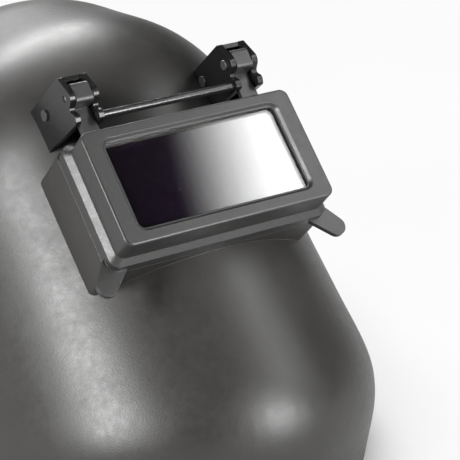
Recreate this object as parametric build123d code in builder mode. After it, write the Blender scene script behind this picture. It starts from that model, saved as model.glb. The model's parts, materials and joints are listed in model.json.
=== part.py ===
from build123d import *
import os
from math import asin, atan, cos, degrees, pi, radians, sin, sqrt, tan

os.makedirs("parts", exist_ok=True)

# A flip-front welding helmet, standing on its flat lower rim. Millimetres.
# +X is the wearer's left, -Y the front, +Z up, and the rim stands on z = 0.

# ---- driving dimensions ----
centring = 3.3  # moves the whole model in Y so that its box is centred on the origin

# Shell: sections on planes that fan about one line, with a half-ellipse front and straight sides.
wall = 2.6
fan_y, fan_z = 150.0 + centring, -59.0
fan_hub = 20.0
stations = 26
half_width, nose_depth = 112.0, 139.0
crown_narrowing, crown_flattening, crown_start = 5.7, 21.7, 0.47
profile_points = [(-157.6, -40), (-173.8, 64), (-3.6, 217.8), (118.7, 205.4), (166.9, 138.5)]
profile_radii = [45, 102, 66]
rim_foot_y, rim_slope, rim_corner = 60.0 + centring, 0.45, 38.0

# Window frame: u = X, v up the window, w out of the window, from the middle of the bezel's face.
window_lean = 47.0
window_y, window_z = -95.0 + centring, 173.0
plate_width, plate_height = 108.0, 50.8
opening_width, opening_height = 99.0, 47.5
bezel_width, bezel_height, bezel_depth = 121.4, 63.0, 15.0
flange_width, flange_height, flange_front, flange_back = 127.2, 69.0, 18.0, 25.0
boss_front = 25.3
cover_plate_front, cover_plate_thick, gasket_thick, filter_thick = 3.2, 1.5, 0.8, 3.2
safety_plate_thick = 1.5

# Flip hinge: axis along X at (hinge_v, hinge_w) in the window frame.
hinge_v, hinge_w = 55.2, -9.2
pin_radius = 1.6
cheek_inner, cheek_outer, cheek_thick = 38.9, 55.2, 3.0
knuckle_size, knuckle_gap = 11.2, 0.4
bar_v, bar_w, bar_radius = 43.4, -11.0, 2.2

# Headgear frame: x = X, y to the back, z along the wearer's neck, from the middle of the band.
head_lean = 23.0
head_y, head_z = 59.1 + centring, 120.9
band_half_width, band_half_length, band_thick = 77.5, 102.0, 1.8
pivot_back = -4.0
pad_inner, pad_outer, pad_radius = 103.5, 107.5, 21.0
bolt_radius, bolt_clearance = 4.2, 0.08
play = 0.2  # the usual gap beside a loose piece
tension_knob_radius, tension_knob_height = 17.0, 14.0
both_sides = (1, -1)

# Ratchet: pinion between two overlapping racks at the nape.
rear_lean = 44.0
module, teeth, pressure = 1.25, 10, 25.0
addendum, dedendum, tooth_play = 0.8, 1.0, 0.12
knob_radius = 20.0

across = Vector(1, 0, 0)
window_out = Vector(0, -cos(radians(window_lean)), sin(radians(window_lean)))
window = Plane(origin=(0, window_y, window_z), x_dir=across, z_dir=window_out)
head_up = Vector(0, sin(radians(head_lean)), cos(radians(head_lean)))
head = Plane(origin=(0, head_y, head_z), x_dir=across, z_dir=head_up)
rear_up = Vector(0, sin(radians(rear_lean)), cos(radians(rear_lean)))
rear_start = head.from_local_coords((0, 20, 0))
rear = Plane(origin=rear_start, x_dir=across, z_dir=rear_up)


def side_plane(frame, x=0.0):
    """The plane across X at x whose local axes are the frame's own y and z."""
    return Plane(origin=frame.origin + across * x, x_dir=frame.y_dir, z_dir=across)


def write(piece, name):
    """Label a finished piece and write it as its own file."""
    piece.part.label = name
    export_step(piece.part, f"parts/{name}.step")


# ---- helmet shell ----
with BuildLine(Plane.YZ) as profile:
    FilletPolyline(*[(y + centring, z) for y, z in profile_points], radius=profile_radii)
profile_wire = profile.wires()[0]


def fan_section(part_way, inset):
    """The shell's cross-section where a fan plane meets the profile, drawn in by inset."""
    crest = profile_wire.position_at(part_way)
    outward = crest - Vector(0, fan_y, fan_z)
    reach = outward.length - fan_hub + 2 * inset
    crown = max(0.0, (part_way - crown_start) / (1 - crown_start))
    width = half_width - crown_narrowing * crown**2 - inset
    depth = nose_depth - crown_flattening * crown
    plane = Plane(origin=crest, x_dir=across, z_dir=across.cross(outward.normalized()))
    with BuildSketch(plane) as section:
        with BuildLine():
            EllipticalCenterArc((0, -depth), width, depth - inset, 0, arc_size=180)
            Polyline((-width, -depth), (-width, -reach), (width, -reach), (width, -depth))
        make_face()
    return section.sketch


with BuildPart() as outer_form:
    loft(sections=[fan_section(i / (stations - 1), 0) for i in range(stations)])

with BuildPart() as inner_form:
    loft(sections=[fan_section(i / (stations - 1), wall) for i in range(stations)])

lug_inner, lug_outer = cheek_inner + cheek_thick + 0.1, cheek_outer - cheek_thick - 0.1
rivet_v, rivet_w, rivet_radius = 60.0, -34.5, 1.6
lug_front, lug_back = -30.5, -76.0
stop_radius, stop_peg_radius = 15.0, 2.0
stop_peg_angle = 230.0
pivot_point = head.from_local_coords((0, pivot_back, 0))
pivot = Plane(origin=pivot_point, x_dir=head.y_dir, z_dir=across)
hollow_width, hollow_height, hollow_corner = 120.4, 62.2, 2.5
sight_width, sight_height, sight_corner = 98.0, 43.0, 2.0
sill = boss_front + 3.0
screw_u, screw_v, screw_radius, screw_hole_depth = 57.9, 28.9, 1.0, 2.2
boss_corner, boss_depth, hollow_depth, sight_depth = 4.0, 60.0, 70.0, 10.0
lug_v, lug_height = 57.0, 14.0
seat_root, seat_hollow_root, seat_wall, seat_clearance = 96.0, 85.0, 1.5, 20.0
stop_peg_height = 4.8
beyond = 300.0  # further out than any part of the shell

with BuildPart() as helmet_shell:
    add(outer_form.part)
    with BuildSketch(window.offset(-boss_front)):
        RectangleRounded(flange_width, flange_height, boss_corner)
    extrude(amount=-boss_depth)
    with BuildSketch(side_plane(window, lug_inner), side_plane(window, -lug_outer)):
        with Locations((lug_v, (lug_front + lug_back) / 2)):
            Rectangle(lug_height, lug_front - lug_back)
    extrude(amount=lug_outer - lug_inner)
    add(inner_form.part, mode=Mode.SUBTRACT)
    # Box behind the window, its sill and the sight opening.
    with BuildSketch(window.offset(-sill)):
        RectangleRounded(hollow_width, hollow_height, hollow_corner)
    extrude(amount=-hollow_depth, mode=Mode.SUBTRACT)
    with BuildSketch(window.offset(-boss_front + 1)):
        RectangleRounded(sight_width, sight_height, sight_corner)
    extrude(amount=-sight_depth, mode=Mode.SUBTRACT)
    # Flat round seats for the headgear pivots, with a stop peg inside each.
    with BuildSketch(pivot.offset(seat_root), pivot.offset(-pad_outer)):
        Circle(pad_radius)
    extrude(amount=pad_outer - seat_root)
    with BuildSketch(pivot.offset(seat_hollow_root), pivot.offset(-pad_inner)):
        Circle(pad_radius - seat_wall)
    extrude(amount=pad_inner - seat_hollow_root, mode=Mode.SUBTRACT)
    with BuildSketch(pivot.offset(pad_outer), pivot.offset(-pad_outer - seat_clearance)):
        Circle(pad_radius)
    extrude(amount=seat_clearance, mode=Mode.SUBTRACT)
    with BuildSketch(pivot.offset(pad_inner - stop_peg_height), pivot.offset(-pad_inner)):
        with PolarLocations(stop_radius, 1, start_angle=stop_peg_angle):
            Circle(stop_peg_radius)
    extrude(amount=stop_peg_height)
    with BuildSketch(pivot):
        Circle(bolt_radius + bolt_clearance)
    extrude(amount=beyond, both=True, mode=Mode.SUBTRACT)
    # Rivet holes across the bracket lugs, and screw holes in the sill.
    with BuildSketch(side_plane(window, lug_inner), side_plane(window, -lug_outer)):
        with Locations((rivet_v, rivet_w)):
            Circle(rivet_radius)
    extrude(amount=lug_outer - lug_inner, mode=Mode.SUBTRACT)
    with BuildSketch(window.offset(-sill)):
        with GridLocations(2 * screw_u, 2 * screw_v, 2, 2):
            Circle(screw_radius)
    extrude(amount=screw_hole_depth, mode=Mode.SUBTRACT)
    # Flat lower rim, sloping rear rim and the rounded corner between them.
    with BuildSketch(Plane.YZ):
        with BuildLine():
            FilletPolyline(
                (-beyond, 0), (rim_foot_y, 0), (rim_foot_y + rim_slope * beyond, beyond), radius=rim_corner
            )
            Polyline((rim_foot_y + rim_slope * beyond, beyond), (-beyond, beyond), (-beyond, 0))
        make_face()
    extrude(amount=beyond, both=True, mode=Mode.INTERSECT)
write(helmet_shell, "helmet_shell")

# ---- safety plate behind the fixed window ----
gasket_width, gasket_height, window_gasket_thick = 112.0, 54.8, 1.2
plate_front = sill + window_gasket_thick
plate_back = plate_front + safety_plate_thick
frame_back = plate_back + 3.5

with BuildPart() as window_gasket:
    with BuildSketch(window.offset(-sill)):
        Rectangle(gasket_width, gasket_height)
        Rectangle(sight_width + 2 * play, sight_height + 2 * play, mode=Mode.SUBTRACT)
    extrude(amount=-window_gasket_thick)
write(window_gasket, "window_gasket")

with BuildPart() as safety_plate:
    with BuildSketch(window.offset(-plate_front)):
        Rectangle(plate_width, plate_height)
    extrude(amount=-safety_plate_thick)
write(safety_plate, "safety_plate")

with BuildPart() as safety_plate_frame:
    with BuildSketch(window.offset(-sill - 0.1)):
        RectangleRounded(hollow_width - 4 * play, hollow_height - 4 * play, hollow_corner)
    extrude(amount=-(frame_back - sill - 0.1))
    with BuildSketch(window.offset(-sill)):
        Rectangle(gasket_width + 2 * play, gasket_height + 2 * play)
    extrude(amount=-(plate_front - sill), mode=Mode.SUBTRACT)
    with BuildSketch(window.offset(-plate_front)):
        Rectangle(plate_width + 3 * play, plate_height + 3 * play)
    extrude(amount=-safety_plate_thick, mode=Mode.SUBTRACT)
    with BuildSketch(window.offset(-sill)):
        RectangleRounded(sight_width, sight_height, sight_corner)
        with GridLocations(2 * screw_u, 2 * screw_v, 2, 2):
            Circle(screw_radius)
    extrude(amount=sill - frame_back, mode=Mode.SUBTRACT)
write(safety_plate_frame, "safety_plate_frame")


def screws(back, spacing_u, spacing_v, shank_radius, head_radius, head_height, length):
    """Four screws through a frame from behind, with slightly domed cross-slot heads."""
    with BuildPart() as group:
        with BuildSketch(window.offset(-back)):
            with GridLocations(spacing_u, spacing_v, 2, 2):
                Circle(shank_radius)
        extrude(amount=length)
        with BuildSketch(window.offset(-back)):
            with GridLocations(spacing_u, spacing_v, 2, 2):
                Circle(head_radius)
        extrude(amount=-head_height)
        with BuildSketch(window.offset(-back - head_height)):
            with GridLocations(spacing_u, spacing_v, 2, 2):
                Rectangle(head_radius * 1.3, 0.5)
                Rectangle(0.5, head_radius * 1.3)
        extrude(amount=0.6, mode=Mode.SUBTRACT)
    return group


safety_frame_screws = screws(
    frame_back, 2 * screw_u, 2 * screw_v, screw_radius, 1.9, 1.2, frame_back - sill + screw_hole_depth - play
)
write(safety_frame_screws, "safety_frame_screws")

# ---- hinge brackets, pins, detent springs and cross bar ----
cheek_outline = [
    (71.4, -66), (66.6, -8), (52.2, -1.8), (48.2, -10.0), (43.6, -6.0), (40.0, -8.4),
    (42.2, -26), (44.6, -40), (44.6, -66),
]
cheek_fillets = [1.2, 4.0, 1.8, 2.4, 1.8]
web_outline = [(71.4, -66), (66.5, -8.6), (64.0, -8.6), (68.8, -66)]


with BuildPart() as left_hinge_bracket:
    cheek_planes = [side_plane(window, cheek_inner), side_plane(window, cheek_outer - cheek_thick)]
    with BuildSketch(*cheek_planes) as cheeks:
        with BuildLine():
            Polyline(*cheek_outline, close=True)
        make_face()
        for corner, radius in zip(cheek_outline[1:6], cheek_fillets):
            fillet(cheeks.vertices().sort_by_distance(corner)[0], radius=radius)
    extrude(amount=cheek_thick)
    with BuildSketch(side_plane(window, cheek_inner + cheek_thick - 0.5)):
        with BuildLine():
            Polyline(*web_outline, close=True)
        make_face()
    extrude(amount=cheek_outer - cheek_inner - 2 * cheek_thick + 1)
    with BuildSketch(side_plane(window)):
        with Locations((hinge_v, hinge_w)):
            Circle(pin_radius)
        with Locations((rivet_v, rivet_w)):
            Circle(rivet_radius)
    extrude(amount=cheek_outer, mode=Mode.SUBTRACT)
    with BuildSketch(side_plane(window)):
        with Locations((bar_v, bar_w)):
            Circle(bar_radius)
    extrude(amount=cheek_inner + cheek_thick, mode=Mode.SUBTRACT)
    add(outer_form.part, mode=Mode.SUBTRACT)
write(left_hinge_bracket, "left_hinge_bracket")

with BuildPart() as right_hinge_bracket:
    mirror(left_hinge_bracket.part, about=Plane.YZ)
write(right_hinge_bracket, "right_hinge_bracket")

with BuildPart() as hinge_bracket_rivets:
    for x in (cheek_inner, -cheek_outer):
        with BuildSketch(side_plane(window, x)):
            with Locations((rivet_v, rivet_w)):
                Circle(rivet_radius)
        extrude(amount=cheek_outer - cheek_inner)
    for x in (cheek_inner - 1.1, cheek_outer, -cheek_outer - 1.1, -cheek_inner):
        with BuildSketch(side_plane(window, x)):
            with Locations((rivet_v, rivet_w)):
                Circle(3.0)
        extrude(amount=1.1)
write(hinge_bracket_rivets, "hinge_bracket_rivets")

with BuildPart() as left_hinge_pin:
    with BuildSketch(side_plane(window, cheek_inner)):
        with Locations((hinge_v, hinge_w)):
            Circle(pin_radius)
    extrude(amount=cheek_outer - cheek_inner - 0.6)
    with BuildSketch(side_plane(window, cheek_inner - 1.0)):
        with Locations((hinge_v, hinge_w)):
            Circle(2.6)
    extrude(amount=1.0)
write(left_hinge_pin, "left_hinge_pin")

with BuildPart() as right_hinge_pin:
    mirror(left_hinge_pin.part, about=Plane.YZ)
write(right_hinge_pin, "right_hinge_pin")

leaf_thick = 0.6
leaf_back = hinge_w - knuckle_size / 2 - 0.05 - leaf_thick / 2
leaf_foot = lug_front + leaf_thick / 2

with BuildPart() as left_detent_spring:
    with BuildSketch(side_plane(window, lug_inner + 0.6)):
        with BuildLine():
            FilletPolyline(
                (51, leaf_foot), (63.4, leaf_foot), (63.2, leaf_back), (53, leaf_back), radius=1.6
            )
        trace(line_width=leaf_thick)
    extrude(amount=lug_outer - lug_inner - 1.2)
write(left_detent_spring, "left_detent_spring")

with BuildPart() as right_detent_spring:
    mirror(left_detent_spring.part, about=Plane.YZ)
write(right_detent_spring, "right_detent_spring")

with BuildPart() as cross_bar:
    with BuildSketch(side_plane(window)):
        with Locations((bar_v, bar_w)):
            Circle(bar_radius)
    extrude(amount=cheek_inner + cheek_thick - 0.2, both=True)
    chamfer(cross_bar.edges().filter_by(GeomType.CIRCLE), 0.4)
write(cross_bar, "cross_bar")

# ---- flip-up lens frame ----
cover_plate_back = cover_plate_front + cover_plate_thick
filter_front = cover_plate_back + gasket_thick
pocket_back = filter_front + filter_thick
knuckle_inner = cheek_inner + cheek_thick + knuckle_gap
knuckle_outer = cheek_outer - cheek_thick - knuckle_gap
arm_front, arm_back = -12.0, hinge_w - knuckle_size / 2
arm_width = knuckle_outer - knuckle_inner
tab_front, tab_thick, tab_tip, tab_radius = 22.0, 2.6, (67.6, -40.6), 5.3
retainer_thick, retainer_screw_u, retainer_screw_v = 2.5, 56.7, 20.0

with BuildPart() as flip_frame:
    with BuildSketch(window):
        RectangleRounded(bezel_width, bezel_height, 4.5)
    extrude(amount=-bezel_depth)
    fillet(flip_frame.faces().sort_by(Axis(window.origin, window_out))[-1].edges(), radius=1.2)
    with BuildSketch(window.offset(-bezel_depth)):
        RectangleRounded(bezel_width, bezel_height, 4.5)
    with BuildSketch(window.offset(-flange_front)):
        RectangleRounded(flange_width, flange_height, 5.5)
    loft()
    with BuildSketch(window.offset(-flange_front)):
        RectangleRounded(flange_width, flange_height, 5.5)
    extrude(amount=-(flange_back - flange_front))
    # Thumb tabs at the two lower corners.
    for side in both_sides:
        with BuildSketch(window.offset(-tab_front)):
            with BuildLine():
                Line((side * 62.5, -24.5), (side * 53.0, -33.5))
                CenterArc((side * tab_tip[0], tab_tip[1]), tab_radius, 0, 180)
                CenterArc((side * tab_tip[0], tab_tip[1]), tab_radius, 180, 180)
            make_hull()
        extrude(amount=-tab_thick)
    # Arms up to the square detent knuckles on the hinge pins.
    with BuildSketch(side_plane(window, knuckle_inner), side_plane(window, -knuckle_outer)):
        with BuildLine():
            Polyline(
                (30, arm_back - 2.4), (34, arm_back), (hinge_v, arm_back),
                (hinge_v, arm_front), (35, arm_front), (30, arm_front + 2.4), close=True,
            )
        make_face()
        with Locations((hinge_v, hinge_w)):
            RectangleRounded(knuckle_size, knuckle_size, 2.4)
            Circle(pin_radius + 0.05, mode=Mode.SUBTRACT)
    extrude(amount=arm_width)
    # Hollows for the plates, the retainer and the fixed window's box.
    with BuildSketch(window.offset(-flange_back)):
        RectangleRounded(flange_width - 4.4, flange_height - 4.4, 3.5)
    extrude(amount=flange_back - flange_front, mode=Mode.SUBTRACT)
    with BuildSketch(window.offset(-flange_back)):
        RectangleRounded(bezel_width - 3.4, bezel_height - 3.4, 3)
    extrude(amount=flange_back - pocket_back, mode=Mode.SUBTRACT)
    with BuildSketch(window.offset(-pocket_back)):
        Rectangle(plate_width + 3 * play, plate_height + 3 * play)
    extrude(amount=pocket_back - cover_plate_front, mode=Mode.SUBTRACT)
    with BuildSketch(window):
        RectangleRounded(opening_width, opening_height, 3.5)
    extrude(amount=-cover_plate_front, mode=Mode.SUBTRACT)
    with BuildSketch(window.offset(-1.6)):
        RectangleRounded(opening_width + 1.4, opening_height + 1.4, 4.2)
    with BuildSketch(window):
        RectangleRounded(opening_width + 4.0, opening_height + 4.0, 5.5)
    loft(mode=Mode.SUBTRACT)
    with BuildSketch(window.offset(-pocket_back)):
        with GridLocations(2 * retainer_screw_u, 2 * retainer_screw_v, 2, 2):
            Circle(1.1)
    extrude(amount=4.0, mode=Mode.SUBTRACT)
write(flip_frame, "flip_frame")

with BuildPart() as front_cover_plate:
    with BuildSketch(window.offset(-cover_plate_front)):
        Rectangle(plate_width, plate_height)
    extrude(amount=-cover_plate_thick)
write(front_cover_plate, "front_cover_plate")

with BuildPart() as filter_gasket:
    with BuildSketch(window.offset(-cover_plate_back)):
        Rectangle(plate_width, plate_height)
        Rectangle(opening_width, opening_height - 2.5, mode=Mode.SUBTRACT)
    extrude(amount=-gasket_thick)
write(filter_gasket, "filter_gasket")

with BuildPart() as filter_plate:
    with BuildSketch(window.offset(-filter_front)):
        Rectangle(plate_width, plate_height)
    extrude(amount=-filter_thick)
write(filter_plate, "filter_plate")

with BuildPart() as filter_retainer:
    with BuildSketch(window.offset(-pocket_back)):
        RectangleRounded(bezel_width - 4.0, bezel_height - 4.0, 2.6)
        RectangleRounded(sight_width, sight_height, 3, mode=Mode.SUBTRACT)
        with GridLocations(2 * retainer_screw_u, 2 * retainer_screw_v, 2, 2):
            Circle(1.1, mode=Mode.SUBTRACT)
    extrude(amount=-retainer_thick)
write(filter_retainer, "filter_retainer")

filter_retainer_screws = screws(
    pocket_back + retainer_thick, 2 * retainer_screw_u, 2 * retainer_screw_v, 1.1, 2.0, 1.2,
    retainer_thick + 3.8,
)
write(filter_retainer_screws, "filter_retainer_screws")

# ---- headgear: band, rear straps and crown strap ----
arm_foot_front, arm_foot_back = -36.0, 16.0
strap_back, strap_width, crown_thick = -4.0, 18.0, 1.5
band_rivet_radius = 1.5
rear_depth, rear_half_gap, rear_strap_width = 85.0, 40.0, 16.0
rear_strap_half = band_half_width - band_thick - 0.1

with BuildPart() as headband:
    with BuildSketch(head.offset(-20)):
        with BuildLine() as band_path:
            EllipticalCenterArc((0, 0), band_half_width, band_half_length, 180, arc_size=180)
            Line((band_half_width, 0), (band_half_width, 24))
            Line((-band_half_width, 0), (-band_half_width, 24))
        trace(line_width=band_thick)
    extrude(amount=40)
    # Tall over the forehead, lower at the sides, rounded where the rear straps join.
    with BuildSketch(side_plane(head)):
        with BuildLine():
            Spline((-110, 17), (-60, 16), (-20, 11), (24, 9), tangents=[(1, 0), (1, 0)])
            Line((24, 9), (24, -9))
            Spline((24, -9), (-20, -11), (-60, -16), (-110, -17), tangents=[(-1, 0), (-1, 0)])
            Line((-110, -17), (-110, 17))
        make_face()
    extrude(amount=beyond, both=True, mode=Mode.INTERSECT)
    with BuildSketch(side_plane(head)):
        with Locations((arm_foot_back, 0), (arm_foot_front, 0), (strap_back, 0)):
            Circle(band_rivet_radius)
    extrude(amount=beyond, both=True, mode=Mode.SUBTRACT)
write(headband, "headband")

foam_thick, foam_height = 6.0, 28.0
foam_inset = band_thick / 2 + play + foam_thick / 2

with BuildPart() as sweatband:
    with BuildSketch(head.offset(-foam_height / 2)):
        with BuildLine():
            EllipticalCenterArc(
                (0, 0), band_half_width - foam_inset, band_half_length - foam_inset, 205, arc_size=130
            )
        trace(line_width=foam_thick)
    extrude(amount=foam_height)
write(sweatband, "sweatband")

rear_strap_thick = 1.6
layer = rear_strap_thick / 2 + 0.1  # half the distance between the two overlapping layers


def rear_strap(side, depth):
    """One tail of the band, from its rivet at the side round to its rack at the nape."""
    with BuildPart() as strap:
        with BuildSketch(rear.offset(-rear_strap_width / 2)):
            with BuildLine():
                EllipticalCenterArc(
                    (rear_half_gap, 0), rear_strap_half - rear_half_gap, depth, 0, arc_size=90
                )
                Line((rear_strap_half, 0), (rear_strap_half, -9))
            trace(line_width=rear_strap_thick)
        extrude(amount=rear_strap_width)
        with BuildSketch(side_plane(head)):
            with Locations((arm_foot_back, 0)):
                Circle(band_rivet_radius)
        extrude(amount=beyond, mode=Mode.SUBTRACT)
    with BuildPart() as placed:
        if side > 0:
            add(strap.part)
        else:
            mirror(strap.part, about=Plane.YZ)
    return placed


left_rear_strap = rear_strap(1, rear_depth + layer)
write(left_rear_strap, "left_rear_strap")
right_rear_strap = rear_strap(-1, rear_depth - layer)
write(right_rear_strap, "right_rear_strap")

arm_thick, arm_height, plate_x, arm_foot_x = 2.4, 16.0, 97.25, 79.8

with BuildPart() as left_pivot_arm:
    with BuildSketch(head.offset(-arm_height / 2)):
        with BuildLine():
            FilletPolyline(
                (arm_foot_x, 24), (arm_foot_x, 11), (plate_x, 6), (plate_x, -17), (77.1, -30.5), (72.0, -45),
                radius=2.5,
            )
        trace(line_width=arm_thick)
    extrude(amount=arm_height)
    with BuildSketch(side_plane(head)):
        with Locations((arm_foot_back, 0), (arm_foot_front, 0)):
            Circle(band_rivet_radius)
        with Locations((pivot_back, 0)):
            Circle(bolt_radius)
    extrude(amount=beyond, mode=Mode.SUBTRACT)
write(left_pivot_arm, "left_pivot_arm")

with BuildPart() as right_pivot_arm:
    mirror(left_pivot_arm.part, about=Plane.YZ)
write(right_pivot_arm, "right_pivot_arm")

crown_plane = Plane(
    origin=head.from_local_coords((0, strap_back + strap_width / 2, 0)), x_dir=across, z_dir=-head.y_dir
)
crown_half_width, crown_top, crown_foot = 79.35, 67.5, 12.0
crown_layer, crown_lap, peg_pitch = 1.7, 16.0, 9.0


def crown_strap(side, height, first_hole):
    """Half of the strap over the head, from its rivet at the side to past the middle."""
    with BuildPart() as strap:
        with BuildSketch(crown_plane):
            with BuildLine():
                EllipticalCenterArc(
                    (0, crown_foot), crown_half_width, height - crown_foot, 0, arc_size=90 + crown_lap
                )
                Line((crown_half_width, crown_foot), (crown_half_width, -8))
            trace(line_width=crown_thick)
        extrude(amount=strap_width)
        with BuildSketch(head.offset(40)):
            with Locations(*[(first_hole + i * peg_pitch, strap_back) for i in range(6)]):
                Circle(1.8)
        extrude(amount=60, mode=Mode.SUBTRACT)
        with BuildSketch(side_plane(head)):
            with Locations((strap_back, 0)):
                Circle(band_rivet_radius)
        extrude(amount=beyond, mode=Mode.SUBTRACT)
    with BuildPart() as placed:
        if side > 0:
            add(strap.part)
        else:
            mirror(strap.part, about=Plane.YZ)
    return placed


left_crown_strap = crown_strap(1, crown_top, -2 * peg_pitch)
write(left_crown_strap, "left_crown_strap")
right_crown_strap = crown_strap(-1, crown_top - crown_layer, -peg_pitch)
write(right_crown_strap, "right_crown_strap")

with BuildPart() as crown_strap_stud:
    with BuildSketch(head.offset(62.4)):
        with Locations((-peg_pitch / 2, strap_back)):
            SlotOverall(19, 8)
    extrude(amount=1.5)
    with BuildSketch(head.offset(63)):
        with Locations((0, strap_back), (-peg_pitch, strap_back)):
            Circle(1.7)
    extrude(amount=7)
    with BuildSketch(head.offset(68.6)):
        with Locations((0, strap_back), (-peg_pitch, strap_back)):
            Circle(2.9)
    extrude(amount=1.4)
write(crown_strap_stud, "crown_strap_stud")

with BuildPart() as headband_rivets:
    for side in both_sides:
        inner_back, outer_back = rear_strap_half - rear_strap_thick / 2, arm_foot_x + arm_thick / 2
        rivet_spans = [(arm_foot_back, inner_back, outer_back), (arm_foot_front, 71.6, 76.4)]
        crown_span = (band_half_width - band_thick / 2, crown_half_width + crown_thick / 2)
        rivet_spans.append((strap_back, *crown_span))
        for back, inner, outer in rivet_spans:
            start = inner if side > 0 else -outer
            with BuildSketch(side_plane(head, start)):
                with Locations((back, 0)):
                    Circle(band_rivet_radius)
            extrude(amount=outer - inner)
            with BuildSketch(side_plane(head, start - 1), side_plane(head, start + outer - inner)):
                with Locations((back, 0)):
                    Circle(2.8)
            extrude(amount=1.0)
    for clamped in (headband, left_pivot_arm, right_pivot_arm):
        add(clamped.part, mode=Mode.SUBTRACT)
write(headband_rivets, "headband_rivets")

# ---- headgear pivots ----
lift_range = 50.0
washer_inner = plate_x + arm_thick / 2
stop_washer_outer = washer_inner + 2.4
notch_margin = degrees(asin(stop_peg_radius / stop_radius)) + 0.6
notch_start, notch_end = stop_peg_angle - lift_range - notch_margin, stop_peg_angle + notch_margin


def polar(radius, angle):
    """A point at a radius and an angle in degrees."""
    return (radius * cos(radians(angle)), radius * sin(radians(angle)))


with BuildPart() as left_pivot_bolt:
    with BuildSketch(pivot.offset(plate_x - arm_thick / 2)):
        RegularPolygon(7.5, 6)
    extrude(amount=-4.0)
    with BuildSketch(pivot.offset(plate_x - arm_thick / 2)):
        Circle(bolt_radius)
    extrude(amount=121 - plate_x + arm_thick / 2)
write(left_pivot_bolt, "left_pivot_bolt")

with BuildPart() as left_stop_washer:
    with BuildSketch(pivot.offset(washer_inner)):
        Circle(18.3)
        Circle(bolt_radius, mode=Mode.SUBTRACT)
        with BuildLine():
            Polyline(
                polar(12.4, notch_start), polar(26, notch_start), polar(26, (notch_start + notch_end) / 2),
                polar(26, notch_end), polar(12.4, notch_end), close=True,
            )
        make_face(mode=Mode.SUBTRACT)
    extrude(amount=2.4)
write(left_stop_washer, "left_stop_washer")

with BuildPart() as left_friction_washer:
    with BuildSketch(pivot.offset(stop_washer_outer + 0.05)):
        Circle(12.6)
        Circle(bolt_radius + 0.05, mode=Mode.SUBTRACT)
    extrude(amount=pad_inner - stop_washer_outer - 0.15)
write(left_friction_washer, "left_friction_washer")

with BuildPart() as left_outer_washer:
    with BuildSketch(pivot.offset(pad_outer + 0.1)):
        Circle(14)
        Circle(bolt_radius + 0.05, mode=Mode.SUBTRACT)
    extrude(amount=1.4)
write(left_outer_washer, "left_outer_washer")

with BuildPart() as left_tension_knob:
    with BuildSketch(pivot.offset(pad_outer + 1.6)):
        Circle(tension_knob_radius)
        with PolarLocations(tension_knob_radius + 2.2, 9):
            Circle(3.9, mode=Mode.SUBTRACT)
    extrude(amount=tension_knob_height)
    fillet(left_tension_knob.faces().sort_by(Axis.X)[-1].edges(), radius=1.6)
    with BuildSketch(pivot.offset(pad_outer + 1.6)):
        Circle(bolt_radius + 0.06)
    extrude(amount=tension_knob_height - 1.8, mode=Mode.SUBTRACT)
write(left_tension_knob, "left_tension_knob")

for piece, name in [
    (left_pivot_bolt, "right_pivot_bolt"),
    (left_stop_washer, "right_stop_washer"),
    (left_friction_washer, "right_friction_washer"),
    (left_outer_washer, "right_outer_washer"),
    (left_tension_knob, "right_tension_knob"),
]:
    with BuildPart() as mirrored:
        mirror(piece.part, about=Plane.YZ)
    write(mirrored, name)

# ---- nape ratchet: racks, pinion, housing and knob ----
ratchet = Plane(origin=rear.from_local_coords((0, rear_depth, 0)), x_dir=across, z_dir=rear.y_dir)
pitch_radius = module * teeth / 2
base_radius = pitch_radius * cos(radians(pressure))
rack_pitch = pi * module
slot_half, rack_half_width, rack_end = 18.5, 10.5, 24.0
# Distances behind the ratchet plane, from the neck side outwards.
floor_front, floor_back = -3.6, -1.8
pinion_front, pinion_back = -1.75, 1.75
lid_front, lid_back = 2.0, 3.8
knob_front, pawl_front, hub_back = 4.2, 5.0, 12.0
screw_front, screw_seat, knob_back = 6.0, 14.0, 17.2
housing_width, housing_height, housing_corner = 80.8, 32.0, 10.0
cover_screw_u, cover_screw_v, cover_screw_radius, cover_screw_depth = 31.0, 13.4, 1.0, 4.0
collar_radius, hub_radius, foot_radius, knob_screw_radius = 7.65, 4.5, 3.0, 1.5
ring_inner, ring_outer, ring_teeth = 13.6, 15.5, 30
pawl_radius, pawl_bore, pawl_height = 9.6, 8.0, 2.2


def rack(side):
    """A slotted rack; the left one is toothed above the pinion and lies behind the right one."""
    near = 0.1 if side > 0 else -0.1 - rear_strap_thick
    with BuildPart() as strip:
        with BuildSketch(ratchet.offset(near)):
            with Locations((side * (rear_half_gap - rack_end) / 2, 0)):
                RectangleRounded(rear_half_gap + rack_end, 2 * rack_half_width, 1.5)
            Rectangle(2 * slot_half, 2 * (pitch_radius + dedendum), mode=Mode.SUBTRACT)
            for i in range(teeth):
                middle = (i + 0.5 - teeth / 2) * rack_pitch
                half = rack_pitch / 4 - tooth_play / 2
                tip = half - addendum * tan(radians(pressure))
                root = half + (dedendum + 0.2) * tan(radians(pressure))
                top, bottom = pitch_radius + dedendum + 0.2, pitch_radius - addendum
                with BuildLine():
                    Polyline(
                        (middle - root, -side * top), (middle - tip, -side * bottom),
                        (middle + tip, -side * bottom), (middle + root, -side * top), close=True,
                    )
                make_face()
        extrude(amount=rear_strap_thick)
    return strip


left_rack = rack(1)
write(left_rack, "left_rack")
right_rack = rack(-1)
write(right_rack, "right_rack")


def involute_angle(radius):
    """Half of the tooth's angle at a radius, in radians."""
    at_pitch = pi / 2 / teeth - tooth_play / 2 / pitch_radius
    tangent = sqrt((radius / base_radius) ** 2 - 1)
    roll = tangent - atan(tangent)
    return at_pitch + tan(radians(pressure)) - radians(pressure) - roll


def flank(sign):
    """Points up one side of a pinion tooth that points along x."""
    radii = [base_radius + (pitch_radius + addendum - base_radius) * i / 5 for i in range(6)]
    return [(r * cos(involute_angle(r)), sign * r * sin(involute_angle(r))) for r in radii]


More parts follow.
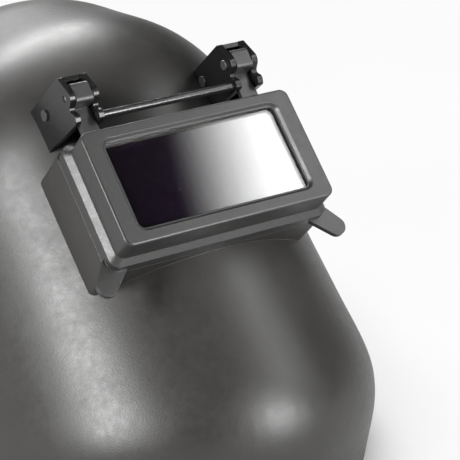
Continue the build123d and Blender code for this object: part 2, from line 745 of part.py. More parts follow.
with BuildSketch() as tooth:
    with BuildLine():
        Spline(*flank(1))
        Spline(*flank(-1))
        Line(flank(1)[-1], flank(-1)[-1])
        Polyline(flank(1)[0], (4.6, flank(1)[0][1]), (4.6, -flank(1)[0][1]), flank(-1)[0])
    make_face()

with BuildPart() as ratchet_pinion:
    with BuildSketch(ratchet.offset(pinion_front)):
        Circle(pitch_radius - dedendum)
        with PolarLocations(0, teeth, start_angle=90):
            add(tooth.sketch)
    extrude(amount=pinion_back - pinion_front)
    with BuildSketch(ratchet.offset(pinion_back)):
        Circle(collar_radius)
    extrude(amount=knob_front + play - pinion_back)
    with BuildSketch(ratchet.offset(knob_front + play)):
        Circle(hub_radius)
    extrude(amount=hub_back - knob_front - play)
    with BuildSketch(ratchet.offset(floor_front)):
        Circle(foot_radius)
    extrude(amount=pinion_front - floor_front + 0.15)
    with BuildSketch(ratchet.offset(screw_front)):
        Circle(knob_screw_radius)
    extrude(amount=hub_back - screw_front, mode=Mode.SUBTRACT)
write(ratchet_pinion, "ratchet_pinion")

with BuildPart() as ratchet_housing:
    with BuildSketch(ratchet.offset(floor_front)):
        RectangleRounded(housing_width, housing_height, housing_corner)
    extrude(amount=lid_front - floor_front)
    fillet(ratchet_housing.faces().sort_by(Axis(ratchet.origin, ratchet.z_dir))[0].edges(), radius=1.2)
    with BuildSketch(ratchet.offset(floor_back)):
        Rectangle(housing_width + 4, 2 * rack_half_width + 3 * play)
    extrude(amount=lid_front - floor_back, mode=Mode.SUBTRACT)
    with BuildSketch(ratchet.offset(floor_front)):
        Circle(foot_radius + 0.07)
    extrude(amount=floor_back - floor_front, mode=Mode.SUBTRACT)
    with BuildSketch(ratchet.offset(lid_front)):
        with GridLocations(2 * cover_screw_u, 2 * cover_screw_v, 2, 2):
            Circle(cover_screw_radius)
    extrude(amount=-cover_screw_depth, mode=Mode.SUBTRACT)
write(ratchet_housing, "ratchet_housing")

with BuildPart() as ratchet_cover:
    with BuildSketch(ratchet.offset(lid_front)):
        RectangleRounded(housing_width, housing_height, housing_corner)
    extrude(amount=lid_back - lid_front)
    fillet(ratchet_cover.faces().sort_by(Axis(ratchet.origin, ratchet.z_dir))[-1].edges(), radius=1.0)
    with BuildSketch(ratchet.offset(lid_back)):
        Circle(ring_outer)
        Circle(ring_inner, mode=Mode.SUBTRACT)
        with PolarLocations(ring_inner - 0.3, ring_teeth):
            RegularPolygon(0.8, 3, rotation=180)
    extrude(amount=8 - lid_back)
    with BuildSketch(ratchet.offset(lid_front)):
        Circle(collar_radius + 0.07)
        with GridLocations(2 * cover_screw_u, 2 * cover_screw_v, 2, 2):
            Circle(cover_screw_radius)
    extrude(amount=lid_back - lid_front, mode=Mode.SUBTRACT)
write(ratchet_cover, "ratchet_cover")

with BuildPart() as ratchet_cover_screws:
    with BuildSketch(ratchet.offset(lid_front - cover_screw_depth)):
        with GridLocations(2 * cover_screw_u, 2 * cover_screw_v, 2, 2):
            Circle(cover_screw_radius)
    extrude(amount=lid_back - lid_front + cover_screw_depth)
    with BuildSketch(ratchet.offset(lid_back)):
        with GridLocations(2 * cover_screw_u, 2 * cover_screw_v, 2, 2):
            Circle(1.9)
            Rectangle(0.5, 2.4, mode=Mode.SUBTRACT)
            Rectangle(2.4, 0.5, mode=Mode.SUBTRACT)
    extrude(amount=1.0)
write(ratchet_cover_screws, "ratchet_cover_screws")

with BuildPart() as ratchet_pawl:
    with BuildSketch(ratchet.offset(pawl_front)):
        Circle(pawl_radius)
        with Locations((8.9, 2.4), (-8.9, -2.4)):
            Rectangle(1.4, 8, rotation=-20)
        Circle(pawl_bore, mode=Mode.SUBTRACT)
    extrude(amount=pawl_height)
write(ratchet_pawl, "ratchet_pawl")

with BuildPart() as ratchet_knob:
    with BuildSketch(ratchet.offset(knob_front)):
        Circle(knob_radius)
        with PolarLocations(knob_radius + 1.6, 12):
            Circle(3.1, mode=Mode.SUBTRACT)
    extrude(amount=knob_back - knob_front)
    fillet(ratchet_knob.faces().sort_by(Axis(ratchet.origin, ratchet.z_dir))[-1].edges(), radius=1.8)
    with BuildSketch(ratchet.offset(knob_front)):
        Circle(ring_outer + 0.8)
        Circle(pawl_bore, mode=Mode.SUBTRACT)
    extrude(amount=8.6 - knob_front, mode=Mode.SUBTRACT)
    with BuildSketch(ratchet.offset(knob_front)):
        Circle(pawl_bore + 0.1)
    extrude(amount=0.5, mode=Mode.SUBTRACT)
    with BuildSketch(ratchet.offset(knob_front)):
        Circle(hub_radius)
    extrude(amount=hub_back - knob_front, mode=Mode.SUBTRACT)
    with BuildSketch(ratchet.offset(hub_back)):
        Circle(knob_screw_radius)
    extrude(amount=screw_seat - hub_back, mode=Mode.SUBTRACT)
    with BuildSketch(ratchet.offset(screw_seat)):
        Circle(4.0)
    extrude(amount=knob_back - screw_seat, mode=Mode.SUBTRACT)
write(ratchet_knob, "ratchet_knob")

with BuildPart() as knob_screw:
    with BuildSketch(ratchet.offset(screw_front + 0.5)):
        Circle(knob_screw_radius)
    extrude(amount=screw_seat - screw_front - 0.5)
    with BuildSketch(ratchet.offset(screw_seat)):
        Circle(3.4)
        Rectangle(0.7, 4.4, mode=Mode.SUBTRACT)
        Rectangle(4.4, 0.7, mode=Mode.SUBTRACT)
    extrude(amount=1.8)
    with BuildSketch(ratchet.offset(screw_seat)):
        Circle(3.0)
    extrude(amount=0.9)
write(knob_screw, "knob_screw")

with BuildPart() as nape_pad:
    with BuildSketch(ratchet.offset(floor_front - 0.1)):
        RectangleRounded(76, 27, 8)
    extrude(amount=-6.0)
    fillet(nape_pad.faces().sort_by(Axis(ratchet.origin, ratchet.z_dir))[0].edges(), radius=2.0)
write(nape_pad, "nape_pad")
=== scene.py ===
import json
from math import cos, radians, sin

import bmesh
import bpy
from mathutils import Matrix, Vector
from mathutils.bvhtree import BVHTree


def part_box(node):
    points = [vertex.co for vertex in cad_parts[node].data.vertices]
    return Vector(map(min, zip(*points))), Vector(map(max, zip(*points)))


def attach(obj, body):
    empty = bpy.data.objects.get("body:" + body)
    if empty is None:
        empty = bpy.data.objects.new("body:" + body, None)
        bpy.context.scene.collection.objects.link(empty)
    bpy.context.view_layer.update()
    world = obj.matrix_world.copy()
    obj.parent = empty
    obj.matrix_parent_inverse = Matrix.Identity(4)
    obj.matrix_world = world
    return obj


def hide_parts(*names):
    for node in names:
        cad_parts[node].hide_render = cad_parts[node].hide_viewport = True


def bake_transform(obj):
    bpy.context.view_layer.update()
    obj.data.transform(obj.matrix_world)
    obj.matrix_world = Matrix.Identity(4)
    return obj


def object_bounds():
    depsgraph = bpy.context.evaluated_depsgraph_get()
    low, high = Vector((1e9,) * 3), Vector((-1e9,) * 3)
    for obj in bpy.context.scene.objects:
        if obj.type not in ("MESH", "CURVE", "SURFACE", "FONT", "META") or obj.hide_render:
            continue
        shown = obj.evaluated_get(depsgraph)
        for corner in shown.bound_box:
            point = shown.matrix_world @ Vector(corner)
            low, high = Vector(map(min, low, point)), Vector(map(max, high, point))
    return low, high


# A flip-front welding helmet: matte black shell, satin lens frame, glossy hinge brackets and a
# padded ratchet headgear. Metres, in the CAD frame.

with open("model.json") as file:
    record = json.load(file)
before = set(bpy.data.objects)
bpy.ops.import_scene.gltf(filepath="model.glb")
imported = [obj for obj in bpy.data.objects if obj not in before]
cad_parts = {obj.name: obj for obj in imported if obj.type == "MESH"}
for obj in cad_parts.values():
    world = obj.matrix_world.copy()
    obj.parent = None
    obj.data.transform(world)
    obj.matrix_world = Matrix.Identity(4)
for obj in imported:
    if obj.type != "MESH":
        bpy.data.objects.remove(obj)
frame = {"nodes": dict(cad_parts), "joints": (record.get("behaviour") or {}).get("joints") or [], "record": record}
cad_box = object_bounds()
nodes = frame["nodes"]
joints = {joint["name"]: joint for joint in frame["joints"]}
scene = bpy.context.scene
mm = 0.001


def centre(node):
    """The middle of a CAD node's box."""
    low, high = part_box(node)
    return (low + high) / 2


# ---- the CAD's own leaning axes ----
WINDOW_LEAN, HEAD_LEAN = radians(47), radians(23)
across = Vector((1, 0, 0))
window_out = Vector((0, -cos(WINDOW_LEAN), sin(WINDOW_LEAN)))
head_up = Vector((0, sin(HEAD_LEAN), cos(HEAD_LEAN)))
head_back = Vector((0, cos(HEAD_LEAN), -sin(HEAD_LEAN)))
COVER_PLATE_DEPTH = 3.95 * mm
window_centre = centre("front_cover_plate") + window_out * COVER_PLATE_DEPTH
PIVOT_AHEAD = 4 * mm
head_centre = Vector(joints["headgear_lift"]["pos_m"]) + head_back * PIVOT_AHEAD


# ---- camera ----
AZIMUTH, ELEVATION = radians(-32.9), radians(23.75)
CAMERA_DISTANCE, RIGHT_OF_AXIS, ABOVE_AXIS = 0.9855, -10.05 * mm, 32.6 * mm
LENS, SENSOR = 155.8, 36.0


def add_camera():
    """A long lens from the front right and a little above, framed on the window."""
    back = Vector((sin(AZIMUTH) * cos(ELEVATION), -cos(AZIMUTH) * cos(ELEVATION), sin(ELEVATION)))
    right = Vector((cos(AZIMUTH), sin(AZIMUTH), 0))
    up = back.cross(right)
    data = bpy.data.cameras.new("camera")
    data.lens, data.sensor_width = LENS, SENSOR
    camera = bpy.data.objects.new("camera", data)
    scene.collection.objects.link(camera)
    place = window_centre + back * CAMERA_DISTANCE - right * RIGHT_OF_AXIS - up * ABOVE_AXIS
    turn = Matrix((right, up, back)).transposed().to_4x4()
    camera.matrix_world = Matrix.Translation(place) @ turn
    scene.camera = camera


add_camera()


# ---- node trees ----
class Tree:
    """A short way to write a node tree."""

    def __init__(self, tree):
        self.tree = tree
        tree.nodes.clear()

    def node(self, kind, inputs=None, **settings):
        made = self.tree.nodes.new(kind)
        for name, value in settings.items():
            setattr(made, name, value)
        for name, value in (inputs or {}).items():
            if isinstance(value, bpy.types.NodeSocket):
                self.tree.links.new(value, made.inputs[name])
            else:
                made.inputs[name].default_value = value
        return made

    def math(self, operation, a, b=0.0):
        return self.node("ShaderNodeMath", {0: a, 1: b}, operation=operation).outputs[0]

    def scale(self, value, low, high, to_low, to_high):
        inputs = {"Value": value, "From Min": low, "From Max": high, "To Min": to_low, "To Max": to_high}
        return self.node("ShaderNodeMapRange", inputs).outputs["Result"]

    def mix(self, factor, a, b):
        made = self.node("ShaderNodeMix", data_type="RGBA")
        for socket, value in (("Factor_Float", factor), ("A_Color", a), ("B_Color", b)):
            target = next(s for s in made.inputs if s.identifier == socket)
            if isinstance(value, bpy.types.NodeSocket):
                self.tree.links.new(value, target)
            else:
                target.default_value = value
        return next(s for s in made.outputs if s.identifier == "Result_Color")

    def noise(self, place, size, detail=2.0, roughness=0.5):
        inputs = {"Vector": place, "Scale": 1 / size, "Detail": detail, "Roughness": roughness}
        return self.node("ShaderNodeTexNoise", inputs).outputs[0]

    def bump(self, height, depth, normal=None):
        inputs = {"Height": height, "Distance": depth, "Strength": 1.0}
        if normal is not None:
            inputs["Normal"] = normal
        return self.node("ShaderNodeBump", inputs).outputs["Normal"]

    def place(self):
        return self.node("ShaderNodeTexCoord").outputs["Object"]

    def stretch(self, place, scale, turn=(0, 0, 0)):
        inputs = {"Vector": place, "Scale": scale, "Rotation": turn}
        return self.node("ShaderNodeMapping", inputs).outputs[0]

    def rounded(self, radius):
        """The surface normal with its sharp edges rounded over."""
        return self.node("ShaderNodeBevel", {"Radius": radius}, samples=4).outputs[0]


def grey(value, warmth=0.0):
    """A near-neutral colour, warmer when warmth is above zero."""
    return (value * (1 + warmth), value, value * (1 - warmth), 1.0)


def shade(colour, factor):
    """A colour made darker or paler by a factor."""
    return tuple(channel * factor for channel in colour[:3]) + (1.0,)


def new_material(name):
    """An empty node material and its tree."""
    material = bpy.data.materials.new(name)
    material.use_nodes = True
    return material, Tree(material.node_tree)


def finish_material(tree, inputs, **fixed):
    """The shader and the output; fixed values go on the shader's own sockets."""
    shader = tree.node("ShaderNodeBsdfPrincipled", inputs)
    for name, value in fixed.items():
        shader.inputs[name.replace("_", " ")].default_value = value
    tree.node("ShaderNodeOutputMaterial", {"Surface": shader.outputs[0]})


def moulded(name, colour, worn, roughness, grain, depth, round_edge=0.5 * mm, spread=0.06, **fixed):
    """Moulded plastic: fine grain, faint mottling, scuffs, and edges that are rounded and rubbed paler."""
    material, tree = new_material(name)
    place = tree.place()
    rounded = tree.rounded(round_edge)
    true_normal = tree.node("ShaderNodeNewGeometry").outputs["Normal"]
    turned = tree.node("ShaderNodeVectorMath", {0: rounded, 1: true_normal}, operation="DOT_PRODUCT")
    edge = tree.scale(turned.outputs["Value"], 0.995, 0.86, 0.0, 1.0)
    cloud = tree.noise(place, 26 * mm, 4.0, 0.6)
    patch = tree.noise(place, 4 * mm, 3.0, 0.55)
    fine = tree.noise(place, grain, 2.0, 0.6)
    cell_inputs = {"Vector": place, "Scale": 1 / (grain * 2.2)}
    cells = tree.node("ShaderNodeTexVoronoi", cell_inputs).outputs["Distance"]
    streaks = tree.noise(tree.stretch(place, (1, 1, 0.08), (0.5, 0.3, 0.9)), 1.6 * mm, 2.0, 0.5)
    scuff = tree.scale(streaks, 0.66, 0.78, 0.0, 1.0)
    rubbed = tree.math("MULTIPLY", edge, tree.scale(patch, 0.35, 0.62, 0.25, 1.0))
    body = tree.mix(tree.scale(cloud, 0.3, 0.7, 0.0, 1.0), colour, shade(colour, 1.22))
    speckled = tree.mix(tree.scale(fine, 0.62, 0.8, 0.0, 0.35), body, worn)
    paled = tree.mix(tree.math("MULTIPLY", rubbed, 0.55), speckled, worn)
    base = tree.mix(tree.math("MULTIPLY", scuff, 0.12), paled, worn)
    uneven = tree.math("ADD", cloud, patch)
    rough = tree.scale(uneven, 0.6, 1.4, roughness - spread, roughness + spread)
    smoother = tree.math("SUBTRACT", rough, tree.math("MULTIPLY", rubbed, 0.08))
    height = tree.math("ADD", tree.math("MULTIPLY", fine, 0.6), tree.math("MULTIPLY", cells, 0.6))
    normal = tree.bump(height, depth, rounded)
    finish_material(tree, {"Base Color": base, "Roughness": smoother, "Normal": normal}, **fixed)
    return material


def metal(name, colour, roughness):
    """Plated or blued steel with fine turning lines and duller patches."""
    material, tree = new_material(name)
    place = tree.place()
    lines = tree.noise(tree.stretch(place, (0.15, 1, 1)), 0.25 * mm, 2.0, 0.6)
    patch = tree.noise(place, 3 * mm, 4.0, 0.6)
    base = tree.mix(tree.scale(patch, 0.35, 0.75, 0.0, 0.8), colour, shade(colour, 0.6))
    rough = tree.scale(tree.math("ADD", lines, patch), 0.6, 1.4, roughness - 0.08, roughness + 0.12)
    normal = tree.bump(lines, 0.02 * mm, tree.rounded(0.25 * mm))
    finish_material(tree, {"Base Color": base, "Roughness": rough, "Normal": normal}, Metallic=1.0)
    return material


def clear_plastic(name):
    """Polycarbonate with hairline scratches and a trace of dust."""
    material, tree = new_material(name)
    place = tree.place()
    hair = tree.noise(tree.stretch(place, (1, 1, 0.03), (0.7, 0.2, 0.4)), 0.9 * mm, 2.0, 0.5)
    dust = tree.noise(place, 0.7 * mm, 2.0, 0.7)
    scratch = tree.scale(hair, 0.7, 0.76, 0.0, 1.0)
    haze = tree.math("ADD", scratch, tree.scale(dust, 0.72, 0.8, 0.0, 1.0))
    rough = tree.scale(haze, 0.0, 1.0, 0.01, 0.03)
    tint = tree.mix(tree.scale(dust, 0.5, 0.8, 0.0, 0.3), (0.985, 0.99, 0.985, 1), (0.95, 0.955, 0.94, 1))
    normal = tree.bump(scratch, 0.003 * mm)
    inputs = {"Base Color": tint, "Roughness": rough, "Normal": normal}
    finish_material(tree, inputs, Transmission_Weight=1.0, IOR=1.58)
    return material


def dark_glass(name):
    """Welding filter glass: almost black, with a mirror-like face."""
    material, tree = new_material(name)
    place = tree.place()
    waves = tree.noise(place, 40 * mm, 2.0, 0.4)
    smear = tree.noise(tree.stretch(place, (1, 0.25, 1)), 18 * mm, 3.0, 0.5)
    base = tree.mix(waves, (0.008, 0.004, 0.009, 1), (0.012, 0.007, 0.016, 1))
    rough = tree.scale(smear, 0.35, 0.75, 0.02, 0.055)
    inputs = {"Base Color": base, "Roughness": rough}
    finish_material(tree, inputs, IOR=1.9, Coat_Weight=0.5, Coat_Roughness=0.03)
    return material


def rubber(name, colour):
    """Moulded rubber, porous and slightly bloomed."""
    material, tree = new_material(name)
    place = tree.place()
    pores = tree.noise(place, 0.35 * mm, 3.0, 0.7)
    bloom = tree.noise(place, 9 * mm, 4.0, 0.6)
    base = tree.mix(tree.scale(bloom, 0.4, 0.75, 0.0, 0.5), colour, grey(0.09))
    rough = tree.scale(bloom, 0.3, 0.7, 0.62, 0.82)
    finish_material(tree, {"Base Color": base, "Roughness": rough, "Normal": tree.bump(pores, 0.05 * mm)})
    return material


def fibre(name):
    """Red-brown vulcanised fibre washers, layered and slightly hairy at the rims."""
    material, tree = new_material(name)
    place = tree.place()
    layers = tree.noise(tree.stretch(place, (6, 1, 1)), 1.2 * mm, 3.0, 0.6)
    fleck = tree.noise(place, 0.3 * mm, 2.0, 0.7)
    base = tree.mix(layers, (0.2, 0.05, 0.025, 1), (0.36, 0.13, 0.06, 1))
    normal = tree.bump(tree.math("ADD", layers, fleck), 0.04 * mm)
    rough = tree.scale(fleck, 0.3, 0.7, 0.6, 0.8)
    finish_material(tree, {"Base Color": base, "Roughness": rough, "Normal": normal})
    return material


def knit(name, colour, pale):
    """Fine two-way knit over foam, with a short nap and slightly rubbed high spots."""
    pitch = 0.9 * mm
    wave_scale = 0.314 / pitch
    material, tree = new_material(name)
    place = tree.place()
    fuzz = tree.noise(place, 0.22 * mm, 3.0, 0.7)
    worn = tree.noise(place, 12 * mm, 4.0, 0.6)
    threads = []
    for turn in ((0, 0, radians(38)), (0, 0, radians(-38)), (radians(52), 0, 0)):
        vector = tree.stretch(place, (1, 1, 1), turn)
        inputs = {"Vector": vector, "Scale": wave_scale, "Distortion": 0.6, "Detail": 1.0}
        threads.append(tree.node("ShaderNodeTexWave", inputs).outputs[1])
    weave = tree.math("MULTIPLY", tree.math("ADD", threads[0], threads[1]), threads[2])
    height = tree.math("ADD", weave, tree.math("MULTIPLY", fuzz, 0.5))
    tone = tree.math("MULTIPLY", weave, tree.scale(worn, 0.3, 0.7, 0.35, 0.8))
    base = tree.mix(tone, colour, pale)
    rough = tree.scale(fuzz, 0.3, 0.7, 0.82, 0.98)
    inputs = {"Base Color": base, "Roughness": rough, "Normal": tree.bump(height, 0.16 * mm)}
    finish_material(tree, inputs, Sheen_Weight=0.35, Sheen_Roughness=0.4)
    return material


def waxed_thread(name):
    """Waxed polyester thread: twisted, slightly shiny."""
    material, tree = new_material(name)
    place = tree.place()
    twist = tree.noise(tree.stretch(place, (1, 1, 3), (0.6, 0.6, 0)), 0.2 * mm, 2.0, 0.5)
    base = tree.mix(twist, grey(0.1), grey(0.3))
    rough = tree.scale(twist, 0.3, 0.7, 0.45, 0.65)
    finish_material(tree, {"Base Color": base, "Roughness": rough, "Normal": tree.bump(twist, 0.05 * mm)})
    return material


def make_plastics():
    """The moulded plastics by name: colour, rubbed colour, gloss and grain."""
    worn = grey(0.16, 0.02)
    looks = {
        "shell_plastic": dict(
            colour=grey(0.014, 0.06), worn=grey(0.05, 0.04),
            roughness=0.43, grain=0.45 * mm, depth=0.035 * mm, round_edge=0.6 * mm,
        ),
        "flip_plastic": dict(
            colour=grey(0.016, 0.02), worn=grey(0.07, 0.02),
            roughness=0.4, grain=0.55 * mm, depth=0.06 * mm,
        ),
        "frame_plastic": dict(
            colour=grey(0.028), worn=worn,
            roughness=0.5, grain=0.5 * mm, depth=0.05 * mm,
        ),
        "bracket_plastic": dict(
            colour=grey(0.006), worn=grey(0.03), Specular_IOR_Level=0.28,
            roughness=0.24, grain=0.9 * mm, depth=0.02 * mm, round_edge=0.4 * mm, spread=0.05,
        ),
        "bar_plastic": dict(
            colour=grey(0.012), worn=grey(0.06), Specular_IOR_Level=0.5,
            roughness=0.22, grain=0.9 * mm, depth=0.02 * mm, round_edge=0.4 * mm, spread=0.05,
        ),
        "black_rivets": dict(
            colour=grey(0.02), worn=grey(0.1),
            roughness=0.28, grain=0.6 * mm, depth=0.02 * mm, round_edge=0.6 * mm,
        ),
        "band_plastic": dict(
            colour=grey(0.026), worn=worn,
            roughness=0.48, grain=0.7 * mm, depth=0.05 * mm, round_edge=0.4 * mm,
        ),
        "rivet_plastic": dict(
            colour=grey(0.02), worn=worn,
            roughness=0.34, grain=0.5 * mm, depth=0.03 * mm,
        ),
        "knob_plastic": dict(
            colour=grey(0.024), worn=worn,
            roughness=0.5, grain=0.8 * mm, depth=0.12 * mm,
        ),
        "gear_plastic": dict(
            colour=(0.62, 0.6, 0.54, 1), worn=(0.8, 0.79, 0.75, 1),
            roughness=0.4, grain=0.5 * mm, depth=0.02 * mm, round_edge=0.15 * mm,
        ),
    }
    return {name: moulded(name, **look) for name, look in looks.items()}


def make_materials():
    """A material for each of the record's slots, and the thread, by name."""
    return make_plastics() | {
        "steel": metal("steel", (0.6, 0.6, 0.61, 1), roughness=0.3),
        "spring_steel": metal("spring_steel", (0.33, 0.34, 0.38, 1), roughness=0.32),
        "gasket_rubber": rubber("gasket_rubber", grey(0.02)),
        "fibre": fibre("fibre"),
        "foam": knit("foam", grey(0.03), grey(0.13, 0.01)),
        "clear_plate": clear_plastic("clear_plate"),
        "filter_glass": dark_glass("filter_glass"),
        "thread": waxed_thread("thread"),
    }


def dress_nodes():
    """Give every CAD node the material of its slot."""
    slot_of = {piece["node"]: piece["material_slot"] for piece in frame["record"]["subparts"]}
    for name, node in nodes.items():
        slot = slot_of.get(name) or node.data.materials[0].name
        for index in range(len(node.data.materials)):
            node.data.materials[index] = materials[slot]


materials = make_materials()
dress_nodes()


# ---- floor, world and lights ----
FLOOR_HALF_WIDTH, FLOOR_GAP = 8.0, 0.5 * mm


def add_floor():
    """A wide pale floor just under the rim."""
    half = FLOOR_HALF_WIDTH
    mesh = bpy.data.meshes.new("floor")
    corners = [(-half, -half, 0), (half, -half, 0), (half, half, 0), (-half, half, 0)]
    mesh.from_pydata(corners, [], [(0, 1, 2, 3)])
    floor = bpy.data.objects.new("floor", mesh)
    scene.collection.objects.link(floor)
    floor.location.z = -FLOOR_GAP
    material, tree = new_material("floor")
    speck = tree.noise(tree.place(), 0.4, 3.0, 0.5)
    base = tree.mix(speck, grey(0.84), grey(0.88))
    finish_material(tree, {"Base Color": base}, Roughness=0.8)
    mesh.materials.append(material)
    return floor


def receivers(name, obj, state):
    """A light-linking collection: this object alone (INCLUDE), or everything but it (EXCLUDE)."""
    collection = bpy.data.collections.new(name)
    collection.objects.link(obj)
    collection.collection_objects[0].light_linking.link_state = state
    return collection


floor = add_floor()
floor_alone = receivers("floor_alone", floor, "INCLUDE")
all_but_floor = receivers("all_but_floor", floor, "EXCLUDE")
WORLD_LOW, WORLD_HIGH = 0.15, 0.012
FLOOR_SUN, FLOOR_SUN_SPREAD = 3.5, radians(70)


def add_world():
    """White where the camera sees it directly; otherwise a grey that darkens upwards."""
    world = bpy.data.worlds.new("studio")
    scene.world = world
    world.use_nodes = True
    tree = Tree(world.node_tree)
    seen = tree.node("ShaderNodeLightPath").outputs["Is Camera Ray"]
    way = tree.node("ShaderNodeTexCoord").outputs["Generated"]
    height = tree.node("ShaderNodeSeparateXYZ", {0: way}).outputs[2]
    glow = tree.scale(height, 0.1, 0.65, WORLD_LOW, WORLD_HIGH)
    strength = tree.math("MAXIMUM", seen, glow)
    light = tree.node("ShaderNodeBackground", {"Color": (1, 1, 1, 1), "Strength": strength})
    tree.node("ShaderNodeOutputWorld", {"Surface": light.outputs[0]})


def add_floor_light():
    """A soft overhead light that falls on the floor alone, so that the floor stays near white."""
    data = bpy.data.lights.new("floor_light", "SUN")
    data.energy, data.angle = FLOOR_SUN, FLOOR_SUN_SPREAD
    light = bpy.data.objects.new("floor_light", data)
    scene.collection.objects.link(light)
    light.light_linking.receiver_collection = floor_alone


def fade_across(light_data, start, end):
    """Darken an area light smoothly along its own width, between two parts of it."""
    light_data.use_nodes = True
    tree = Tree(light_data.node_tree)
    parametric = tree.node("ShaderNodeNewGeometry").outputs["Parametric"]
    along = tree.node("ShaderNodeSeparateXYZ", {0: parametric}).outputs[0]
    inputs = {"Value": along, "From Min": start, "From Max": end}
    glow = tree.node("ShaderNodeMapRange", inputs, interpolation_type="SMOOTHSTEP").outputs["Result"]
    emission = tree.node("ShaderNodeEmission", {"Strength": glow})
    tree.node("ShaderNodeOutputLight", {"Surface": emission.outputs[0]})


def add_panel(name, place, aim, width, height, power, upright=Vector((0, 0, 1)), fade=None):
    """A soft box that lights everything but the floor. fade is where its darkening starts and ends."""
    data = bpy.data.lights.new(name, "AREA")
    data.shape, data.size, data.size_y = "RECTANGLE", width, height
    data.energy = power
    if fade:
        fade_across(data, *fade)
    light = bpy.data.objects.new(name, data)
    scene.collection.objects.link(light)
    facing = (place - aim).normalized()
    side = upright.cross(facing).normalized()
    turn = Matrix((side, facing.cross(side), facing)).transposed().to_4x4()
    light.matrix_world = Matrix.Translation(place) @ turn
    light.visible_camera = False
    light.light_linking.receiver_collection = all_but_floor


def add_panels():
    """A narrow box on the left, one behind and above, one in front, and one that the lens mirrors."""
    middle = Vector((0, 0, (cad_box[0][2] + cad_box[1][2]) / 2))
    leaning_back = Vector((0, 0.5, 0.87))
    add_panel(
        "side_panel", Vector((-1.1, -0.22, 0.56)), middle,
        width=0.22, height=0.6, power=27, upright=leaning_back,
    )
    add_panel("top_panel", Vector((0.15, 1.15, 1.05)), middle, width=1.0, height=0.25, power=26)
    add_panel("front_panel", Vector((0.46, -1.2, 0.42)), middle, width=0.26, height=0.9, power=24)
    mirror_way, mirror_distance = Vector((0.497, -0.348, 0.794)), 0.9
    add_panel(
        "lens_panel", window_centre + mirror_way * mirror_distance, window_centre,
        width=0.6, height=0.6, power=9, upright=mirror_way.cross(across), fade=(0.44, 0.68),
    )


add_floor_light()
add_world()
add_panels()


# ---- padded and flexible pieces ----
def own_copy(node, name):
    """A new object with a copy of a CAD node's mesh."""
    mesh = nodes[node].data.copy()
    mesh.name = name
    copy = bpy.data.objects.new(name, mesh)
    scene.collection.objects.link(copy)
    return copy


def settle(obj):
    """Apply every modifier on the object."""
    graph = bpy.context.evaluated_depsgraph_get()
    mesh = bpy.data.meshes.new_from_object(obj.evaluated_get(graph))
    obj.modifiers.clear()
    obj.data = mesh


CLOTH_STEPS = 20


def swell(pad, pressure):
    """Blow the pad up with a short cloth simulation."""
    cloth = pad.modifiers.new("Cloth", "CLOTH")
    cloth.settings.quality = 6
    cloth.settings.mass = 0.2
    cloth.settings.use_pressure = True
    cloth.settings.uniform_pressure_force = pressure
    cloth.settings.effector_weights.gravity = 0
    cloth.collision_settings.use_collision = False
    for step in range(CLOTH_STEPS):
        scene.frame_set(step + 1)
    settle(pad)
    scene.frame_set(1)


def stuffed(node, name, voxel, shrink, pressure, most):
    """A pad grown from its shrunk CAD solid, where no point moves more than most."""
    pad = own_copy(node, name)
    remesh = pad.modifiers.new("Remesh", "REMESH")
    remesh.mode, remesh.voxel_size = "VOXEL", voxel
    settle(pad)
    starts = []
    for vertex in pad.data.vertices:
        vertex.co -= vertex.normal * shrink
        starts.append(vertex.co.copy())
    swell(pad, pressure)
    for vertex, start in zip(pad.data.vertices, starts):
        move = vertex.co - start
        if move.length > most:
            vertex.co = start + move.normalized() * most
    smooth = pad.modifiers.new("Smooth", "SMOOTH")
    smooth.factor, smooth.iterations = 0.5, 3
    finer = pad.modifiers.new("Subdivision", "SUBSURF")
    finer.levels = finer.render_levels = 1
    settle(pad)
    pad.data.shade_smooth()
    pad.data.materials.clear()
    pad.data.materials.append(materials["foam"])
    return pad


def tube_along(name, points, radius, material):
    """A thin round tube that follows points, as a mesh."""
    curve = bpy.data.curves.new(name, "CURVE")
    curve.dimensions, curve.bevel_depth, curve.bevel_resolution = "3D", radius, 3
    curve.use_fill_caps = True
    spline = curve.splines.new("NURBS")
    spline.points.add(len(points) - 1)
    for point, place in zip(spline.points, points):
        point.co = (*place, 1.0)
    spline.order_u, spline.use_endpoint_u = 3, True
    line = bpy.data.objects.new(name, curve)
    scene.collection.objects.link(line)
    graph = bpy.context.evaluated_depsgraph_get()
    mesh = bpy.data.meshes.new_from_object(line.evaluated_get(graph))
    bpy.data.objects.remove(line)
    tube = bpy.data.objects.new(name, mesh)
    scene.collection.objects.link(tube)
    mesh.shade_smooth()
    mesh.materials.clear()
    mesh.materials.append(material)
    return tube


STITCH_FLATNESS, STITCH_RISE = 0.7, 0.25


def stitches(name, points, surface, length, radius, material):
    """Short thread stitches laid on a surface, one between each two points of the row."""
    tree = BVHTree.FromPolygons(
        [v.co for v in surface.data.vertices], [tuple(p.vertices) for p in surface.data.polygons]
    )
    mesh = bmesh.new()
    for here, there in zip(points, points[1:]):
        spot, normal, _, _ = tree.find_nearest(here)
        along = (there - here).normalized()
        across_row = normal.cross(along).normalized()
        turn = Matrix((along, across_row, normal)).transposed().to_4x4()
        size = Matrix.Diagonal((length / 2, radius, radius * STITCH_FLATNESS, 1))
        placed = Matrix.Translation(spot + normal * radius * STITCH_RISE) @ turn @ size
        bmesh.ops.create_icosphere(mesh, subdivisions=2, radius=1.0, matrix=placed)
    data = bpy.data.meshes.new(name)
    mesh.to_mesh(data)
    mesh.free()
    row = bpy.data.objects.new(name, data)
    scene.collection.objects.link(row)
    data.shade_smooth()
    data.materials.append(material)
    return row


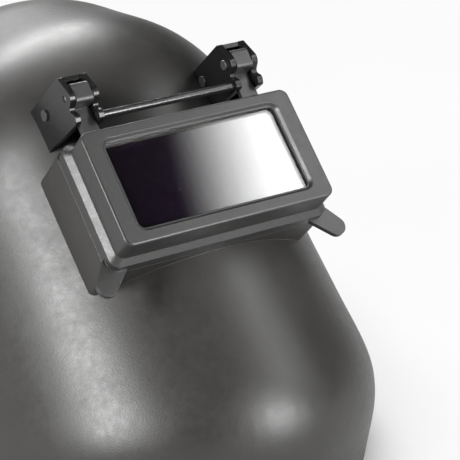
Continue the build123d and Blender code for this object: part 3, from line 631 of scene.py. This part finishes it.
# Sweatband: a foam strip inside the front of the headband, bound and sewn at both edges.
SWEAT_HALF_WIDTH, SWEAT_HALF_LENGTH, SWEAT_HALF_HEIGHT = 73.4 * mm, 97.9 * mm, 14 * mm
SWEAT_START, SWEAT_SWEEP = radians(205), radians(130)
END_SHARE = 0.01
BINDING_RADIUS, BINDING_INSET, BINDING_STEPS = 1.1 * mm, 0.6 * mm, 60
SEAM_DEPTH, SEAM_INSET, SEAM_STEPS = 3.0 * mm, 3.6 * mm, 110
STITCH_LENGTH, STITCH_RADIUS = 1.5 * mm, 0.32 * mm


def sweat_line(inset, height, steps):
    """Points along the sweatband, inset from the foam's middle line, at a height on the band."""
    points = []
    for step in range(steps + 1):
        angle = SWEAT_START + SWEAT_SWEEP * (END_SHARE + (1 - 2 * END_SHARE) * step / steps)
        x = (SWEAT_HALF_WIDTH - inset) * cos(angle)
        y = (SWEAT_HALF_LENGTH - inset) * sin(angle)
        points.append(head_centre + across * x + head_back * y + head_up * height)
    return points


def add_sweatband():
    """The pad, with a bound and a sewn row along its upper and its lower edge."""
    pad = stuffed("sweatband", "sweatband_pad", voxel=2.0 * mm, shrink=1.0 * mm, pressure=3.0, most=2.2 * mm)
    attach(pad, "headgear")
    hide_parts("sweatband")
    for label, side in (("upper", 1), ("lower", -1)):
        edge = sweat_line(0, side * (SWEAT_HALF_HEIGHT - BINDING_INSET), BINDING_STEPS)
        binding = tube_along(f"sweatband_{label}_binding", edge, BINDING_RADIUS, materials["foam"])
        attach(binding, "headgear")
        row = sweat_line(SEAM_DEPTH, side * (SWEAT_HALF_HEIGHT - SEAM_INSET), SEAM_STEPS)
        thread = stitches(
            f"sweatband_{label}_stitches", row, pad, STITCH_LENGTH, STITCH_RADIUS, materials["thread"]
        )
        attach(thread, "headgear")


def add_nape_pad():
    """The small cushion between the ratchet and the nape."""
    pad = stuffed("nape_pad", "nape_cushion", voxel=2.0 * mm, shrink=0.9 * mm, pressure=3.0, most=2.0 * mm)
    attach(pad, "headgear")
    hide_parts("nape_pad")


def add_rear_strap(side):
    """The tail of the band between its rivet and its sliding rack, as a copy of its CAD node, which is hidden."""
    strap = own_copy(f"{side}_rear_strap", f"{side}_band_tail")
    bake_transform(strap)
    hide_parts(f"{side}_rear_strap")


add_sweatband()
add_nape_pad()
add_rear_strap("left")
add_rear_strap("right")

scene.view_settings.view_transform = "Standard"
